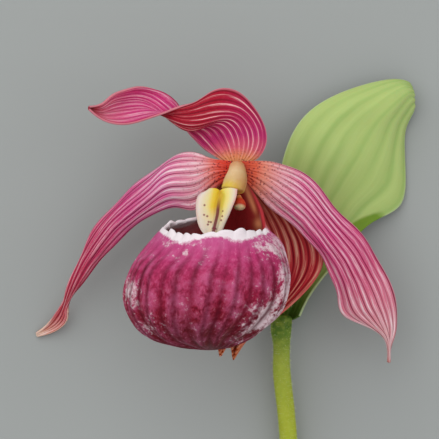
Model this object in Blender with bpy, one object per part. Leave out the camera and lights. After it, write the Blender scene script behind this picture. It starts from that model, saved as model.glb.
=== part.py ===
# Cypripedium orchid: one cut flowering shoot, laid on its back.
# Lengths in millimetres in the tables, turned into metres as each piece is made.
# The tables are written in the flower's own frame: its heart, where all whorls meet, is the
# zero point, x to the right, y up the picture, z towards the viewer.
import math

import bpy
import numpy as np

heart = (3.03, 40.64, 27.15)      # where the flower's heart stands in the object's frame
bladeThick = 0.80                # petals and sepals, in the middle
edgeThick = 0.62                 # petals and sepals, at the margin
bractThick = 0.85
ribHeight = 0.18                 # relief of the long veins
pouchWall = 1.10
rimCrenation = 0.90              # height of the lobes along the pouch's rim
furrowDepth = 0.80               # furrows that fan down the pouch
stemRadius = 2.35
stemFoot = -105.0                # y of the cut end
ovaryRadius = 2.75
ovaryRidge = 0.32

for old in list(bpy.data.objects):
    bpy.data.objects.remove(old, do_unlink=True)


def material(name, colour, rough):
    mat = bpy.data.materials.new(name)
    mat.use_nodes = True
    shader = mat.node_tree.nodes["Principled BSDF"]
    shader.inputs["Base Color"].default_value = (*colour, 1.0)
    shader.inputs["Roughness"].default_value = rough
    return mat


def place(name, points, faces, mat, flat=False):
    mesh = bpy.data.meshes.new(name)
    spot = (np.asarray(points, float) + np.array(heart)) * 0.001
    mesh.from_pydata([tuple(p) for p in spot], [], [tuple(int(i) for i in f) for f in faces])
    mesh.update()
    for poly in mesh.polygons:
        poly.use_smooth = not flat
    mesh.materials.append(mat)
    piece = bpy.data.objects.new(name, mesh)
    bpy.context.scene.collection.objects.link(piece)
    return piece


def cubic(knots, values, where):
    # natural cubic through the hand-picked values
    knots = np.asarray(knots, float)
    values = np.asarray(values, float)
    where = np.asarray(where, float)
    n = len(knots)
    step = np.diff(knots)
    system = np.zeros((n, n))
    right = np.zeros((n, values.shape[1]))
    system[0, 0] = system[-1, -1] = 1.0
    for i in range(1, n - 1):
        system[i, i - 1] = step[i - 1]
        system[i, i] = 2 * (step[i - 1] + step[i])
        system[i, i + 1] = step[i]
        right[i] = 6 * ((values[i + 1] - values[i]) / step[i]
                        - (values[i] - values[i - 1]) / step[i - 1])
    bend = np.linalg.solve(system, right)
    seat = np.clip(np.searchsorted(knots, where, side="right") - 1, 0, n - 2)
    h = step[seat][:, None]
    a = (knots[seat + 1] - where)[:, None] / h
    b = 1 - a
    return (a * values[seat] + b * values[seat + 1]
            + ((a ** 3 - a) * bend[seat] + (b ** 3 - b) * bend[seat + 1]) * h * h / 6)


def along(points):
    points = np.asarray(points, float).reshape(len(points), -1)
    gaps = np.linalg.norm(np.diff(points, axis=0), axis=1) / math.sqrt(points.shape[1] / 3)
    return np.concatenate([[0.0], np.cumsum(gaps)])


def normals(grid, closed=False):
    if closed:
        across = np.roll(grid, -1, axis=1) - np.roll(grid, 1, axis=1)
    else:
        across = np.gradient(grid, axis=1)
    length = np.gradient(grid, axis=0)
    normal = np.cross(across, length)
    return normal / np.maximum(np.linalg.norm(normal, axis=2, keepdims=True), 1e-9)


def blade(name, stations, rows, cols, mat, thick, ribs=5, wave=0.0, waves=6, fork=None):
    # each station gives one margin, the middle and the other margin of the blade
    table = np.asarray(stations, float)
    knots = along(table)
    knots = knots / knots[-1]
    s = np.linspace(0, 1, rows + 1)
    three = cubic(knots, table.reshape(len(table), 9), s).reshape(rows + 1, 3, 3)
    u = np.linspace(-1, 1, cols + 1)
    weight = np.stack([u * (u - 1) / 2, 1 - u * u, u * (u + 1) / 2], axis=1)
    sheet = np.einsum("cw,rwk->rck", weight, three)
    if fork:
        # the blade ends in two teeth
        reach = np.array([[-0.12, -0.97, 0.22]])
        tooth = (fork[0] * np.clip(1 - np.abs(u + 0.6) / 0.3, 0, 1)
                 + fork[1] * np.clip(1 - np.abs(u - 0.6) / 0.3, 0, 1))
        ramp = np.clip((s - 0.86) / 0.14, 0, 1) ** 2
        sheet = sheet + ramp[:, None, None] * (reach * tooth[:, None])[None]
    normal = normals(sheet)
    fade = np.minimum(1, np.minimum(s, 1 - s) * 9)[:, None]
    relief = -ribHeight * np.cos(ribs * math.pi * (u + 1))[None, :] * fade
    relief = relief * np.where(np.abs(u) > 0.999, 0, 1)[None, :]
    turn = np.sin(2 * math.pi * waves * s[:, None] + np.where(u > 0, 1.9, 0)[None, :])
    relief = relief + wave * turn * fade * (np.abs(u) ** 3)[None, :]
    sheet = sheet + normal * relief[:, :, None]
    half = (thick + (edgeThick - thick) * np.abs(u) ** 2)[None, :, None] / 2
    front = sheet + normal * half
    back = sheet - normal * half
    wide = cols + 1
    count = (rows + 1) * wide
    points = np.concatenate([front.reshape(-1, 3), back.reshape(-1, 3)])
    faces = []
    for r in range(rows):
        for c in range(cols):
            a, b = r * wide + c, r * wide + c + 1
            d, e = a + wide, b + wide
            if (r + c) % 2:
                cut = [(a, b, e), (a, e, d)]
            else:
                cut = [(a, b, d), (b, e, d)]
            for t in cut:
                faces.append(t)
                faces.append((t[0] + count, t[2] + count, t[1] + count))
    ring = [c for c in range(wide)]
    ring += [r * wide + cols for r in range(1, rows + 1)]
    ring += [rows * wide + c for c in range(cols - 1, -1, -1)]
    ring += [r * wide for r in range(rows - 1, 0, -1)]
    for i, a in enumerate(ring):
        b = ring[(i + 1) % len(ring)]
        faces.append((b, a, a + count))
        faces.append((b, a + count, b + count))
    return place(name, points, faces, mat)


def tube(name, path, radii, rows, sides, mat, ridges=0, ridge=0.0, squash=1.0, up=(0, 0, 1),
         low=None):
    # a round piece along a curve, closed by a flat face at either end
    path = np.asarray(path, float)
    knots = along(path)
    knots = knots / knots[-1]
    s = np.linspace(0, 1, rows + 1)
    middle = cubic(knots, path, s)
    radius = cubic(knots, np.asarray(radii, float)[:, None], s)[:, 0]
    way = np.gradient(middle, axis=0)
    way /= np.linalg.norm(way, axis=1)[:, None]
    side = np.cross(way, np.asarray(up, float)[None, :])
    side /= np.linalg.norm(side, axis=1)[:, None]
    lift = np.cross(side, way)
    angle = 2 * math.pi * np.arange(sides) / sides
    fade = np.sin(math.pi * np.clip(s, 0.04, 0.96)) ** 0.6
    wide = radius[:, None] + ridge * fade[:, None] * np.cos(ridges * angle)[None, :]
    points = (middle[:, None, :] + side[:, None, :] * (wide * np.cos(angle))[:, :, None]
              + lift[:, None, :] * (wide * squash * np.sin(angle))[:, :, None])
    faces = []
    for r in range(rows):
        for k in range(sides):
            a, b = r * sides + k, r * sides + (k + 1) % sides
            faces.append((a, a + sides, b + sides, b))
    flat = points.reshape(-1, 3)
    if low is not None:
        flat[:, 2] = np.maximum(flat[:, 2], low)
    faces.append(tuple(range(sides)))
    faces.append(tuple(range(rows * sides + sides - 1, rows * sides - 1, -1)))
    return place(name, flat, faces, mat)


crimson = material("dorsal_skin", (0.36, 0.012, 0.035), 0.5)
pink = material("petal_skin", (0.55, 0.10, 0.22), 0.5)
wine = material("synsepal_skin", (0.32, 0.03, 0.04), 0.5)
magenta = material("pouch_skin", (0.40, 0.05, 0.15), 0.4)
leafGreen = material("bract_skin", (0.30, 0.48, 0.16), 0.5)
stalkGreen = material("stem_skin", (0.30, 0.36, 0.05), 0.6)
ovaryGreen = material("ovary_skin", (0.16, 0.24, 0.05), 0.6)
cream = material("column_skin", (0.80, 0.68, 0.45), 0.45)
shield = material("staminode_skin", (0.85, 0.74, 0.50), 0.4)
orange = material("anther_skin", (0.75, 0.20, 0.04), 0.6)
pale = material("stigma_skin", (0.70, 0.66, 0.40), 0.5)

# left petal: upper margin, middle, lower margin, from the heart to the tip
blade("petal_left", [
    [(-1.2, 1.5, -.6), (-1.4, -.6, -.5), (-1.2, -2.6, -.6)],
    [(-6.5, 2.1, -.8), (-6.5, -.8, .8), (-6.2, -6, -.2)],
    [(-10.7, 3.4, -1.5), (-11.4, -2.4, 1.2), (-10.7, -10.9, -.5)],
    [(-15.4, 3.2, -3), (-16.9, -2.9, .5), (-14.8, -10.7, -2)],
    [(-22.2, -1.2, -5.5), (-22.1, -6.2, -1.5), (-20.6, -11.4, -4.5)],
    [(-28.6, -6.4, -8), (-28, -10.9, -4.5), (-27, -15.6, -7)],
    [(-34.7, -12.5, -11.5), (-33.6, -16.1, -8), (-32.1, -20.1, -10)],
    [(-39.6, -19.6, -15), (-38.2, -22.2, -11.5), (-36.4, -24.9, -13)],
    [(-43, -27.1, -18), (-41.8, -28.1, -15.5), (-40.5, -29.7, -17)],
    [(-45.3, -33, -19.7), (-44.5, -33.5, -18.9), (-43.6, -34, -19.9)],
    [(-46.7, -36.4, -22.2), (-45.8, -36.7, -22.3), (-45, -36.9, -21.9)],
    [(-49, -39.5, -24.1), (-47.1, -40.2, -24.5), (-45.1, -40.4, -23.3)],
    [(-51.8, -42.6, -25.8), (-50.5, -43.2, -26.2), (-49.1, -43.8, -25.4)],
    [(-53.9, -44.1, -26.5), (-53.8, -44.7, -26.6), (-53.5, -45.2, -26.5)],
], 30, 10, pink, bladeThick, wave=0.3, waves=5)

# right petal
blade("petal_right", [
    [(1.2, -2.6, -.6), (1.4, -.6, -.5), (1.2, 1.5, -.6)],
    [(4.7, -6.5, -.4), (6.5, -2.1, .6), (6.5, 1.3, -1)],
    [(8.1, -9.9, -2), (10.9, -4.4, .5), (11.7, .6, -2)],
    [(12.5, -13.5, -3), (15.3, -7.5, 0), (17, -1.3, -3)],
    [(17, -17.2, -3.5), (19.5, -11.7, -.5), (22, -6.2, -4)],
    [(21.2, -21.9, -4.5), (24.3, -18, -2), (27.5, -12.5, -5)],
    [(24.1, -27.1, -6), (28.8, -23.7, -4), (33.3, -18.5, -7)],
    [(26.3, -33.2, -8), (32.5, -30.8, -6.5), (38.5, -26.9, -9.5)],
    [(27.7, -38, -10.5), (35.3, -37.2, -9), (42, -35.9, -12)],
    [(32.5, -41.2, -12), (38, -41.7, -11.5), (42.1, -42.6, -13.5)],
    [(38.9, -44.7, -13.5), (40, -45.8, -13.5), (40.8, -46.6, -14.5)],
    [(40, -51.3, -16), (40.3, -51.5, -16), (40.7, -51.5, -16)],
], 30, 10, pink, bladeThick, wave=0.3, waves=5)

# dorsal sepal: the margin that passes behind, the middle, the margin that crosses in front
blade("dorsal_sepal", [
    [(-2.1, .8, -2), (0, .6, -1.8), (2.4, .8, -2)],
    [(-5.7, 2.8, -3.5), (.3, 3.9, -1.5), (5.8, 2.7, -2.5)],
    [(-8.6, 4.8, -4.5), (0, 7.3, -1.5), (7.6, 6.3, -3)],
    [(-11, 7.2, -5), (-1.7, 10.6, -.6), (7.1, 10.8, -3.5)],
    [(-12.9, 9.4, -6), (-4.3, 11.9, .2), (4.5, 15.5, -3.5)],
    [(-14, 11.8, -7), (-8, 10.9, 1), (-.2, 19.9, -3)],
    [(-14.6, 14.2, -7.6), (-12, 10, 1.1), (-5.7, 20.1, -1)],
    [(-15.6, 16.6, -7.7), (-15.6, 11.2, 0), (-10.1, 17.4, 0)],
    [(-18, 18.9, -7.2), (-18.8, 13.3, -2.2), (-14.5, 15.8, 1)],
    [(-21.3, 20.4, -5.8), (-21.9, 15.4, -4.6), (-18.4, 14.2, 2)],
    [(-25.3, 21, -3.5), (-25.1, 16.6, -5), (-22, 12.9, 3)],
    [(-28.9, 20.1, -1), (-29, 16.5, -4), (-25.9, 11.6, 4)],
    [(-32.2, 18.7, 1.5), (-32.6, 15.7, -1.5), (-30.3, 11, 5)],
    [(-34.7, 16.5, 3.5), (-35.3, 14.5, 2), (-34.4, 12, 6)],
    [(-38, 15.4, 8), (-38.2, 15.1, 7.5), (-38.1, 14.7, 8)],
], 36, 8, crimson, bladeThick, ribs=4)

# synsepal: the margin on the right, the middle, the margin on the left
blade("synsepal", [
    [(2.1, -1, -1.9), (0, -1.4, -1.9), (-2.1, -1, -1.9)],
    [(8.1, -4.9, -4), (.6, -5.9, -6), (-5.7, -5.4, -3)],
    [(15.8, -10.6, -6), (2.2, -12.5, -10), (-9.7, -11.7, -5)],
    [(21.3, -17.7, -7.5), (3.5, -19.1, -13), (-11.8, -19, -6)],
    [(22.6, -24.8, -8), (4.3, -25.7, -14.5), (-11.8, -25.6, -6)],
    [(18.7, -31.6, -8), (3.8, -33.1, -14), (-10.4, -32.6, -5)],
    [(11.6, -38.1, -6), (2.2, -39.6, -10.5), (-7.6, -39.4, -3)],
    [(4.4, -43.5, -2), (.3, -44.6, -4.5), (-4.2, -44.5, 0)],
    [(.6, -46.2, 2), (-2.3, -46.8, 1), (-5.2, -46.2, 2.2)],
], 20, 10, wine, bladeThick, fork=(3.6, 2.7))

# bract: left margin, midrib, right margin, from its foot round the stem to its tip
blade("bract", [
    [(7.6, -39.3, -19.4), (12.2, -41.1, -25.4), (16.8, -39.3, -19.4)],
    [(7.4, -34, -19.6), (13.6, -35.2, -25.1), (19.2, -34.3, -19.5)],
    [(6.2, -25, -20.4), (15.5, -26.6, -24.6), (24.6, -27.1, -19.5)],
    [(8.6, -15.1, -21.6), (19.8, -17, -23), (29.7, -21, -21)],
    [(11, -3.9, -20.6), (24.3, -6.9, -20.8), (36.7, -14.2, -23)],
    [(14, 7.2, -20), (29.4, 2.6, -19), (44.2, -9.2, -25.8)],
    [(19.6, 15.2, -21.3), (34, 9.9, -18.5), (45.2, .2, -26.4)],
    [(28.2, 20.2, -22.3), (38.3, 15, -18.3), (45, 8.2, -26.2)],
    [(37.2, 23, -22.5), (42.8, 18.9, -18.8), (46, 12.6, -25.4)],
    [(43.6, 23.59, -22.3), (46.2, 20.7, -20), (47.35, 15.4, -24.4)],
    [(46.1, 22.7, -24), (47.34, 20, -22.8), (47.2, 16.3, -25.2)],
    [(43.8, 20.4, -25.4), (44.6, 19, -25), (44.8, 17.5, -25.7)],
    [(40.9, 18.6, -25.6), (41.2, 18.1, -25.5), (41.3, 17.6, -25.7)],
], 28, 12, leafGreen, bractThick, ribs=6)


def pouch():
    # closed rings from the rim down to the toe; angle 0 is the right side, 90 the front
    sides = 64
    rim = [(6.9, -16.6, 14.2), (5.6, -16.4, 21), (1, -16.2, 26.4), (-4.9, -16.6, 28.2),
           (-10.7, -17.2, 26.8), (-16.4, -16.7, 21), (-18.9, -15.7, 14.2), (-16.2, -14.2, 7),
           (-11.5, -13.2, 3.6), (-7.4, -10.8, 2), (-4, -6.3, 1), (-1.6, -3.5, .62),
           (1.5, -3.4, .62), (5.2, -8.1, 1.6), (6.8, -11.7, 4), (7, -15.3, 8.5)]
    rings = [
        # middle x, y, z, half width, half depth, how much higher the back stands
        (-5.6, -19.5, 14.6, 16.9, 15.6, 4.0),
        (-6.6, -24.0, 15.0, 19.6, 17.4, 1.6),
        (-7.7, -31.0, 15.0, 21.4, 18.0, 0.5),
        (-8.6, -37.5, 14.6, 19.9, 16.6, 0.0),
        (-9.6, -43.2, 14.0, 14.5, 12.0, 0.0),
        (-8.6, -46.0, 13.6, 8.4, 6.6, 0.0),
    ]
    angle = 2 * math.pi * np.arange(sides) / sides
    loop = np.asarray(rim + rim + rim, float)
    turns = np.arctan2(loop[:, 2] - 14.2, loop[:, 0] + 4.3)
    turns = np.unwrap(turns)
    turns -= turns[len(rim)]
    start = math.atan2(rim[0][2] - 14.2, rim[0][0] + 4.3)
    top = cubic(turns, loop, angle - start)
    levels = [top]
    for mx, my, mz, wide, deep, back in rings:
        level = np.stack([mx + wide * np.cos(angle),
                          my - back * np.sin(angle),
                          mz + deep * np.sin(angle)], axis=1)
        levels.append(level)
    toe = np.tile(np.array([[-7.2, -47.1, 13.4]]), (sides, 1))
    levels.append(toe)
    stack = np.stack(levels)
    rows = 12
    grid = np.zeros((rows + 1, sides, 3))
    for k in range(sides):
        line = stack[:, k]
        knots = along(line)
        grid[:, k] = cubic(knots / knots[-1], line, np.linspace(0, 1, rows + 1))
    grid = grid[:rows]
    s = np.linspace(0, 1, rows + 1)[:rows]
    out = normals(grid, closed=True)
    centre = np.array([-7.0, -30.0, 14.5])
    if np.sum(out[6] * (grid[6] - centre)) < 0:
        out = -out
    furrow = 0.5 * (np.cos(16 * angle) - 1)
    grow = np.clip((s - 0.08) * 4, 0, 1) * np.clip((1 - s) * 4, 0, 1)
    grid = grid + out * (furrowDepth * furrow[None, :] * grow[:, None])[:, :, None]
    lobes = rimCrenation * 0.5 * np.cos(16 * angle)
    grid[0, :, 1] += lobes
    inner = grid - out * pouchWall
    inner[0] = grid[0] - out[0] * 0.7
    points = np.concatenate([grid.reshape(-1, 3), inner.reshape(-1, 3)])
    count = rows * sides
    faces = []
    for r in range(rows - 1):
        for k in range(sides):
            n = (k + 1) % sides
            a, b, d, e = r * sides + k, r * sides + n, (r + 1) * sides + k, (r + 1) * sides + n
            cut = [(a, b, e), (a, e, d)] if (r + k) % 2 else [(a, b, d), (b, e, d)]
            for t in cut:
                faces.append(t)
                faces.append((t[0] + count, t[2] + count, t[1] + count))
    for k in range(sides):
        n = (k + 1) % sides
        faces.append((n, k, k + count))
        faces.append((n, k + count, n + count))
    tip = np.array([[-7.2, -47.1, 13.4], [-7.2, -47.1 + pouchWall, 13.4]])
    points = np.concatenate([points, tip])
    last = (rows - 1) * sides
    for k in range(sides):
        n = (k + 1) % sides
        faces.append((last + k, last + n, 2 * count))
        faces.append((last + n + count, last + k + count, 2 * count + 1))
    return place("lip", points, faces, magenta)


pouch()

tube("column", [(0, .4, .4), (0, .1, 1.6), (0, -1.3, 3.2), (-.3, -3.6, 4.8), (-.9, -5.8, 6.05)],
     [1.9, 2.0, 2.4, 3.1, 3.2], 10, 16, cream, squash=0.68, up=(0, 1, 0.2))

blade("staminode", [
    [(-7.4, -5.6, 6.9), (-5, -5.9, 7.8), (0, -6.1, 8)],
    [(-9.8, -7.4, 7.6), (-5, -8, 9.6), (-.4, -7.9, 9.1)],
    [(-10.5, -10.2, 8.9), (-5.4, -10.2, 11.3), (-1.3, -10.1, 10.6)],
    [(-10.3, -13, 10.4), (-5.6, -12.8, 12.8), (-2.6, -12.9, 12.1)],
    [(-9.6, -15.6, 12.3), (-6, -15.3, 14.2), (-3.8, -15.5, 13.8)],
    [(-8.3, -17.7, 14.2), (-6.4, -17.6, 15.1), (-4.6, -17.6, 14.9)],
], 12, 8, shield, 1.2, ribs=1)

tube("anther_right", [(.4, -7.3, 4.7), (.5, -8.1, 5.3), (.6, -9.3, 6.1), (.6, -10.5, 6.9),
                      (.6, -11.2, 7.3)],
     [.55, .7, 1.35, 1.3, .5], 8, 12, orange)
tube("anther_left", [(-3.7, -6.2, 5), (-5, -7.2, 5.3), (-6.4, -8.5, 5.8), (-7.3, -9.8, 6.3),
                     (-7.7, -10.6, 6.6)],
     [.55, .7, 1.3, 1.3, .5], 8, 12, orange)
tube("stigma", [(-1.6, -6.6, 6.1), (-2.3, -8.4, 6.4), (-3.4, -10.7, 7.3), (-3.9, -11.9, 8)],
     [.7, .9, 1.8, 1.0], 8, 12, pale)

tube("ovary", [(12.7, -38.2, -20.7), (12.4, -33, -20.2), (11.0, -25.5, -19.3), (8.4, -16.5, -17.2),
               (5.2, -8, -13.2), (2.4, -2, -8.2), (.7, .2, -4.8), (.2, .5, -2.85)],
     [2.2, 2.6, ovaryRadius, ovaryRadius, 2.4, 1.9, 1.6, 1.5], 18, 24, ovaryGreen,
     ridges=6, ridge=ovaryRidge, up=(0.3, 0, 1))

tube("stem", [(12.4, -38.7, -20.9), (11.9, -42.6, -21.2), (12, -46.2, -21.5), (12, -52.5, -22),
              (13, -62.7, -22.8), (13.9, -72.4, -23.5), (14.9, -85, -24.2), (15.6, -95, -24.8),
              (16, stemFoot, -25.0)],
     [2.5, 2.8, 2.35, 2.3, stemRadius, stemRadius, stemRadius, stemRadius, stemRadius],
     18, 16, stalkGreen,
     low=-heart[2])
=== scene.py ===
import math

import bpy
import numpy as np
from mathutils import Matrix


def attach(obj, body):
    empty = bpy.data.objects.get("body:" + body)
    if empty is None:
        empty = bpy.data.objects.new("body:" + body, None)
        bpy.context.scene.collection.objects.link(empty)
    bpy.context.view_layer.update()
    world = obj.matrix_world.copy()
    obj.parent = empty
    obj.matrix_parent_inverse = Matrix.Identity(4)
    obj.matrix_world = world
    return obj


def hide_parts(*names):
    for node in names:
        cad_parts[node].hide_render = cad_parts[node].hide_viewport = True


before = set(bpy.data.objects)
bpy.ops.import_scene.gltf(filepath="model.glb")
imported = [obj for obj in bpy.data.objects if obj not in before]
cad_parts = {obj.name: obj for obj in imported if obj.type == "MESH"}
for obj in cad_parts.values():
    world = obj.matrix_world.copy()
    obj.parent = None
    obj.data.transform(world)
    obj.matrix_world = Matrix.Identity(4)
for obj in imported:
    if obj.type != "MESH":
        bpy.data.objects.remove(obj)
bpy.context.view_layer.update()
fine = 1.0
perMetre = 1000                     # the tables are in millimetres
tiny = 1e-9                         # keeps a division away from zero
seamGap = 0.000002                  # metres, within which a closed sheet's points are merged

# the flower's heart, where every whorl meets, and from which the tables measure
heart = (3.03, 40.64, 27.15)

# camera straight over the lying shoot, on a long lens
shot = {"pixel": 0.26, "pixels": 439, "high": 800.0, "left": 17.5, "down": 52.5, "sensor": 36}
bpy.ops.object.camera_add(
    location=((heart[0] - shot["left"] * shot["pixel"]) / perMetre,
              (heart[1] - shot["down"] * shot["pixel"]) / perMetre,
              (heart[2] + shot["high"]) / perMetre),
    rotation=(0, 0, 0))
camera = bpy.context.object
camera.name = "studio_camera"
camera.data.lens = shot["sensor"] * shot["high"] / (shot["pixels"] * shot["pixel"])
camera.data.sensor_width = shot["sensor"]
camera.data.clip_start = 0.01
camera.data.clip_end = 50
bpy.context.scene.camera = camera


def toLinear(code):
    # hex sRGB to the linear colour a shader wants
    parts = [int(code[i:i + 2], 16) / 255 for i in (1, 3, 5)]
    return tuple(p / 12.92 if p <= 0.04045 else ((p + 0.055) / 1.055) ** 2.4 for p in parts) + (1.0,)


def setNode(tree, node, given):
    # settings go by name, sockets by name or number; a node or socket given as a value is linked,
    # a hex tone is made linear, and stops are what a ramp holds from 0 to 1
    sockets = {}
    for key, value in given.items():
        if key == "stops":
            for spot, tone in value[1:-1]:
                node.color_ramp.elements.new(spot)
            for stop, (spot, tone) in zip(node.color_ramp.elements, value):
                stop.color = toLinear(tone) if isinstance(tone, str) else (tone, tone, tone, 1)
        elif isinstance(key, str) and key not in node.inputs:
            setattr(node, key, value)
        else:
            sockets[key] = value
    for key, value in sockets.items():
        if isinstance(value, bpy.types.Node):
            value = next(out for out in value.outputs if out.enabled)
        if isinstance(value, bpy.types.NodeSocket):
            tree.links.new(value, node.inputs[key])
        else:
            node.inputs[key].default_value = toLinear(value) if isinstance(value, str) else value
    return node


def addNode(tree, kind, given):
    return setNode(tree, tree.nodes.new("ShaderNode" + kind), given)


def newSkin(name):
    skin = bpy.data.materials.new(name)
    skin.use_nodes = True
    return skin, skin.node_tree, addNode(skin.node_tree, "TexCoord", {})


def curveThrough(knots, values, where):
    # natural cubic through the given values
    knots, values, where = (np.asarray(a, float) for a in (knots, values, where))
    n = len(knots)
    step = np.diff(knots)
    system, right = np.zeros((n, n)), np.zeros((n, values.shape[1]))
    system[0, 0] = system[-1, -1] = 1.0
    for i in range(1, n - 1):
        system[i, i - 1:i + 2] = step[i - 1], 2 * (step[i - 1] + step[i]), step[i]
        right[i] = 6 * ((values[i + 1] - values[i]) / step[i] - (values[i] - values[i - 1]) / step[i - 1])
    bend = np.linalg.solve(system, right)
    seat = np.clip(np.searchsorted(knots, where, side="right") - 1, 0, n - 2)
    h = step[seat][:, None]
    a = (knots[seat + 1] - where)[:, None] / h
    b = 1 - a
    return (a * values[seat] + b * values[seat + 1]
            + ((a ** 3 - a) * bend[seat] + (b ** 3 - b) * bend[seat + 1]) * h * h / 6)


def lengthsAlong(points):
    # how far along the whole each point lies, from 0 to 1
    points = np.asarray(points, float).reshape(len(points), -1)
    gaps = np.linalg.norm(np.diff(points, axis=0), axis=1)
    return np.concatenate([[0.0], np.cumsum(gaps)]) / max(gaps.sum(), tiny)


def sheetNormals(sheet, closed=False):
    if closed:
        across = np.roll(sheet[:, :-1], -1, axis=1) - np.roll(sheet[:, :-1], 1, axis=1)
        across = np.concatenate([across, across[:, :1]], axis=1)
    else:
        across = np.gradient(sheet, axis=1)
    normal = np.cross(across, np.gradient(sheet, axis=0))
    return normal / np.maximum(np.linalg.norm(normal, axis=2, keepdims=True), tiny)


def layGrid(name, sheet, marks=None, closed=False):
    # a flat grid is added at the origin, then every point goes to its place in the sheet
    rows, cols = sheet.shape[0] - 1, sheet.shape[1] - 1
    bpy.ops.object.select_all(action="DESELECT")
    bpy.ops.mesh.primitive_grid_add(x_subdivisions=cols, y_subdivisions=rows, size=1, calc_uvs=True)
    piece = bpy.context.object
    piece.name = piece.data.name = name
    flat = np.zeros(len(piece.data.vertices) * 3)
    piece.data.vertices.foreach_get("co", flat)
    flat = flat.reshape(-1, 3)
    column = np.rint((flat[:, 0] + 0.5) * cols).astype(int)
    row = np.rint((flat[:, 1] + 0.5) * rows).astype(int)
    spot = (sheet[row, column] + np.array(heart)) / perMetre
    piece.data.vertices.foreach_set("co", spot.reshape(-1))
    for mark, values in (marks or {}).items():
        layer = piece.data.attributes.new(mark, "FLOAT", "POINT")
        layer.data.foreach_set("value", values[row, column].astype(np.float32))
    piece.data.update()
    if closed:
        bpy.ops.object.mode_set(mode="EDIT")
        bpy.ops.mesh.select_all(action="SELECT")
        bpy.ops.mesh.remove_doubles(threshold=seamGap)
        bpy.ops.mesh.normals_make_consistent(inside=False)
        bpy.ops.object.mode_set(mode="OBJECT")
    bpy.ops.object.shade_smooth()
    return piece


def thicken(piece, thick, offset, skins):
    # skins: the material of the laid face, then of the face behind it
    for skin in skins:
        piece.data.materials.append(skin)
    wall = piece.modifiers.new("wall", "SOLIDIFY")
    wall.thickness, wall.offset = thick / perMetre, offset
    wall.material_offset = len(skins) - 1
    bpy.context.view_layer.objects.active = piece
    bpy.ops.object.modifier_apply(modifier=wall.name)
    return piece


def standFor(piece, node):
    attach(piece, "root")
    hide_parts(node)


def bladeSheet(look):
    # one margin, the middle and the other margin at each station, then ribs and waves on it
    stations = np.asarray(look["stations"], float).reshape(len(look["stations"]), -1)
    rows, cols = int(look["rows"] * fine), int(look["cols"] * fine)
    s = np.linspace(0, 1, rows + 1)
    u = np.linspace(-1, 1, cols + 1)
    three = curveThrough(lengthsAlong(stations), stations, s).reshape(rows + 1, 3, 3)
    weight = np.stack([u * (u - 1) / 2, 1 - u * u, u * (u + 1) / 2], axis=1)
    sheet = np.einsum("cw,rwk->rck", weight, three)
    if "teeth" in look:
        seat, half, begin = look["toothSeat"]
        tooth = (look["teeth"][0] * np.clip(1 - np.abs(u + seat) / half, 0, 1)
                 + look["teeth"][1] * np.clip(1 - np.abs(u - seat) / half, 0, 1))
        ramp = np.clip((s - begin) / (1 - begin), 0, 1) ** 2
        sheet = sheet + (ramp[:, None] * tooth[None, :])[:, :, None] * np.array(look["toothWay"])
    normal = sheetNormals(sheet)
    fade = np.minimum(1, np.minimum(s, 1 - s) * 9)[:, None]    # flat where the blade begins and ends
    wide, along = np.meshgrid(u, s)
    ribs = -look["rib"] * np.cos(look["ribs"] * math.pi * (wide + 1))
    relief = ribs * np.clip((1 - np.abs(wide)) * 8, 0, 1) * fade
    if "waves" in look:
        turn = np.sin(2 * math.pi * look["waves"] * along + np.where(wide > 0, 1.9, 0))
        relief = relief + look["wave"] * turn * fade * np.abs(wide) ** 3
    # slow swells and shallow dimples that keep a living sheet from looking pressed
    swell = np.sin(along * 17 + wide * 3.1) * np.sin(along * 9.3 - wide * 5.2 + 1) * look["swell"]
    relief = relief + swell * fade * (1 - wide ** 2)
    for middle, spread, depth in look.get("grooves", []):
        dip = np.exp(-((wide - middle) / spread) ** 2)
        relief = relief - depth * dip * np.clip(along * 6 + 0.35, 0, 1)
    return sheet + normal * relief[:, :, None]


def tubeSheet(look):
    # a round bar along the path, its two ends drawn in to a rounded close
    path = np.asarray(look["path"], float)
    rows, sides = int(look["rows"] * fine), int(look["sides"] * fine)
    s = np.linspace(0, 1, rows + 1)
    knots = lengthsAlong(path)
    middle = curveThrough(knots, path, s)
    radius = curveThrough(knots, np.asarray(look["radii"], float)[:, None], s)[:, 0]
    ends = np.minimum(s, 1 - s) * look["endSharp"]
    radius = radius * np.sqrt(np.clip(1 - (1 - np.clip(ends, 0, 1)) ** 2, 0, 1))
    way = np.gradient(middle, axis=0)
    way /= np.linalg.norm(way, axis=1)[:, None]
    side = np.cross(way, np.asarray(look.get("up", (0, 0, 1)), float)[None, :])
    side /= np.linalg.norm(side, axis=1)[:, None]
    lift = np.cross(side, way)
    angle = np.linspace(0, 2 * math.pi, sides + 1)
    wide = radius[:, None]
    if "ridges" in look:
        swell = np.sin(math.pi * np.clip(s, 0.04, 0.96)) ** 0.6
        wide = wide + look["ridge"] * (swell * (radius > 0))[:, None] * np.cos(look["ridges"] * angle)
    points = (middle[:, None, :] + side[:, None, :] * (wide * np.cos(angle))[:, :, None]
              + lift[:, None, :] * (wide * look.get("squash", 1) * np.sin(angle))[:, :, None])
    if "low" in look:
        points[:, :, 2] = np.maximum(points[:, :, 2], look["low"])
    points[:, -1] = points[:, 0]
    return points


# what a veined skin has where its own table says nothing; veins are counted across the blade,
# and places and widths are shares of its length or width
veinedLook = {"veinFrom": 0.16, "fineVeins": 0.45, "faintest": 0.42, "bump": 0.5, "rough": 0.45}


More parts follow.
